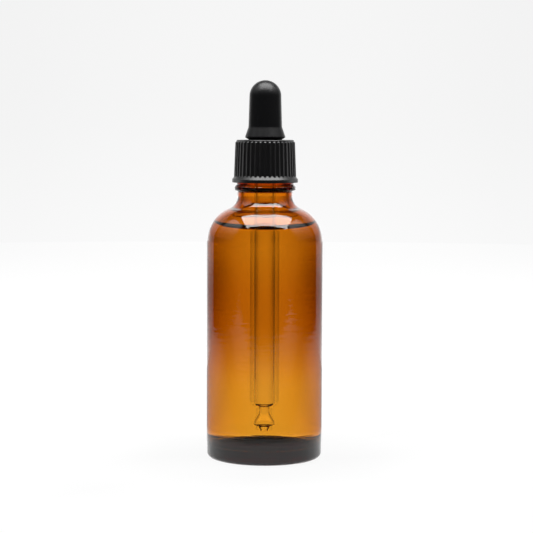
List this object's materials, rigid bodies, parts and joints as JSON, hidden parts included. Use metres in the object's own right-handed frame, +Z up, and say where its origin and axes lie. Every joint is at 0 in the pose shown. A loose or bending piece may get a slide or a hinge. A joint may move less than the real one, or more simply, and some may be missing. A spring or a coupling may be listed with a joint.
{
  "type": "dropper bottle",
  "caption": "Amber glass bottle with a ribbed screw cap that carries a rubber bulb and a glass pipette, for dosing liquid by the drop.",
  "frame": {"origin": "middle of the bottle's base, on the surface it stands on", "axes": "+Z up along the bottle's axis, towards the bulb; X and Y are level, and the object is round"},
  "size_m": [0.037, 0.037, 0.1206],
  "materials": {
    "amber_glass": "smooth moulded glass, amber",
    "clear_liquid": null,
    "clear_glass": "smooth drawn tube, clear",
    "black_plastic": "satin moulded polypropylene, black",
    "black_rubber": "matt moulded rubber, black"
  },
  "bodies": {
    "bottle": {"bottle": "amber_glass", "liquid_fill": "clear_liquid"},
    "dropper": {"glass_pipette": "clear_glass", "drawn_liquid": "clear_liquid"},
    "cap": {"screw_cap": "black_plastic"},
    "bulb": {"rubber_bulb": "black_rubber"}
  },
  "joints": [
    {"name": "thread_rise", "type": "slide", "parent": "bottle", "child": "dropper", "axis": [0, 0, 1], "range_m": [0, 0.0045]},
    {"name": "cap_turn", "type": "hinge", "parent": "dropper", "child": "cap", "pos_m": [0, 0, 0.095], "axis": [0, 0, 1], "range_deg": [0, 540]},
    {"name": "bulb_press", "type": "slide", "parent": "cap", "child": "bulb", "axis": [0, 0, -1], "range_m": [0, 0.004], "stiffness_N_per_m": 400, "deforming": ["rubber_bulb"]}
  ],
  "couplings": [
    {"joint": "cap_turn", "follows": "thread_rise", "rad_per_m": 2094.4}
  ]
}
